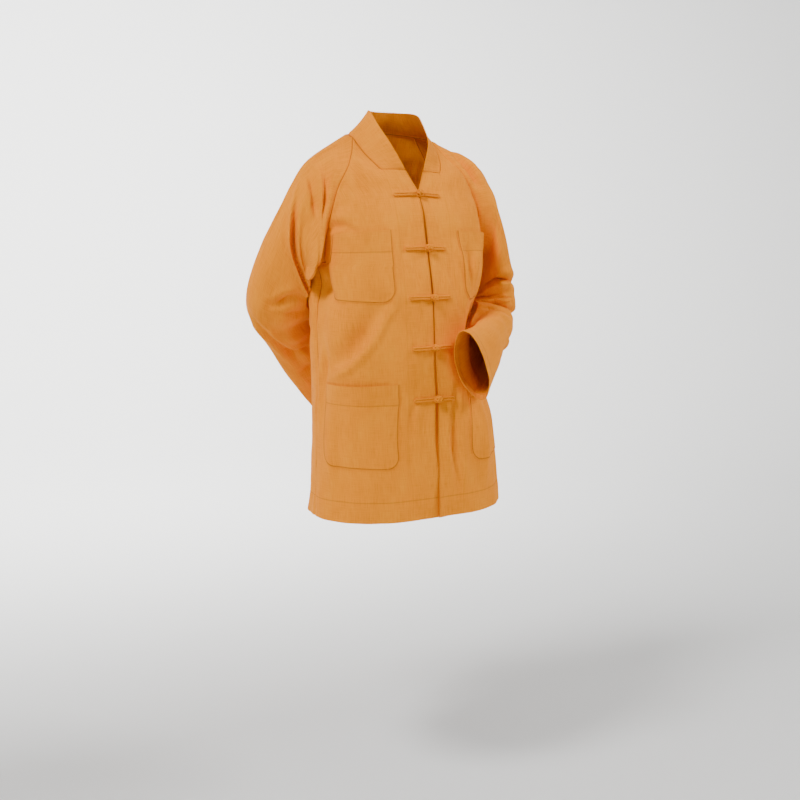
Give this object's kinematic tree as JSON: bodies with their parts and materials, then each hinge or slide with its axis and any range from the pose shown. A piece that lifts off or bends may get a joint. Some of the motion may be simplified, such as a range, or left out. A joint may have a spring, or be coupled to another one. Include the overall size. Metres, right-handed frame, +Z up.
{
  "type": "monk short jacket",
  "caption": "Hip-length front-opening robe jacket with raglan sleeves, stand-away band collar, patch pockets and knotted frog closures, standing hollow in its worn pose.",
  "frame": {"origin": "middle of the neck at the height of the shoulder-neck points, where the jacket rests on its wearer", "axes": "+Z up, -Y out of the front, +X to the wearer's left"},
  "size_m": [0.5656, 0.4926, 0.8423],
  "materials": {
    "cloth": "matt slubbed plain weave, ochre",
    "cord": "matt rolled cord of the same cloth"
  },
  "bodies": {
    "root": {"front_right": "cloth", "front_left": "cloth", "back": "cloth", "sleeve_right": "cloth", "sleeve_left": "cloth", "collar": "cloth", "pocket_chest_right": "cloth", "pocket_hip_right": "cloth", "pocket_chest_left": "cloth", "pocket_hip_left": "cloth", "frog_loop_1": "cord", "frog_loop_2": "cord", "frog_loop_3": "cord", "frog_loop_4": "cord", "frog_loop_5": "cord", "frog_knot_1": "cord", "frog_knot_2": "cord", "frog_knot_3": "cord", "frog_knot_4": "cord", "frog_knot_5": "cord"}
  },
  "joints": []
}
